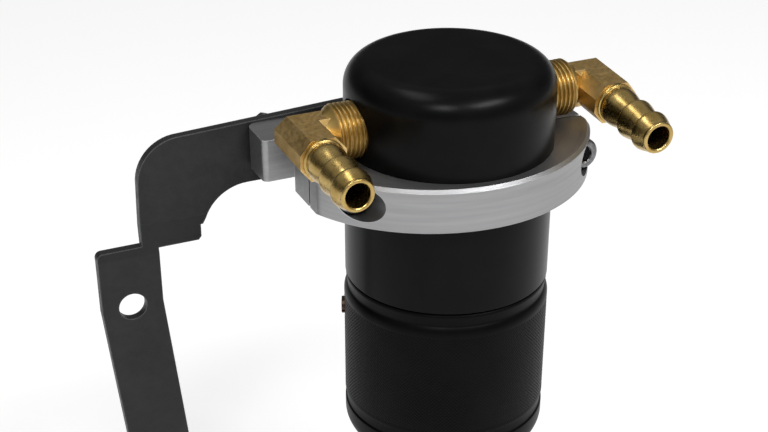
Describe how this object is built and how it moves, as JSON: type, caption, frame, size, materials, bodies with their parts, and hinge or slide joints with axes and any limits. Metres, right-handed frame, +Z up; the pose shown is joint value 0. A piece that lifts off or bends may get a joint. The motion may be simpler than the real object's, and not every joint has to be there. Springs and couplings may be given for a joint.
{
  "type": "oil catch can",
  "caption": "Black two-piece canister with brass hose elbows on both sides and a screwed-on oil cup, held by a split clamp ring on a bent steel bracket.",
  "frame": {"origin": "centre of the bolt hole in the bracket's leg, on the leg's rear face", "axes": "+X to the right along the ports and the bracket's arm, +Y backwards along the bolt hole, away from the hose tails, +Z up along the can"},
  "size_m": [0.1577, 0.0845, 0.1417],
  "materials": {
    "black_coat": "satin black anodised",
    "grey_coat": "satin dark grey powder coat",
    "aluminium": "brushed",
    "brass": "satin turned and forged",
    "screw_steel": "blackened",
    "steel": "satin",
    "rubber": "matt"
  },
  "bodies": {
    "mounted_can": {"upper_body": "black_coat", "clamp_front": "aluminium", "clamp_rear": "aluminium", "clamp_screw_left": "screw_steel", "clamp_screw_right": "screw_steel", "bracket": "grey_coat", "foot_bolt_left": "screw_steel", "foot_bolt_right": "screw_steel", "foot_washer_left": "steel", "foot_washer_right": "steel", "inlet_elbow": "brass", "outlet_elbow": "brass", "divider_plate": "aluminium", "inlet_mesh": "steel", "outlet_mesh": "steel", "mesh_screen": "aluminium", "mesh_circlip": "steel"},
    "seal": {"cup_seal": "rubber"},
    "oil_cup": {"cup": "black_coat", "lock_screw": "brass"}
  },
  "joints": [
    {"name": "cup_turn", "type": "hinge", "parent": "mounted_can", "child": "seal", "pos_m": [0.0929, -0.0367, 0.0108], "axis": [0, 0, -1], "range_deg": [0, 2520]},
    {"name": "cup_drop", "type": "slide", "parent": "seal", "child": "oil_cup", "axis": [0, 0, -1], "range_m": [0, 0.014]}
  ],
  "couplings": [
    {"joint": "cup_drop", "follows": "cup_turn", "m_per_rad": 0.0003183}
  ]
}
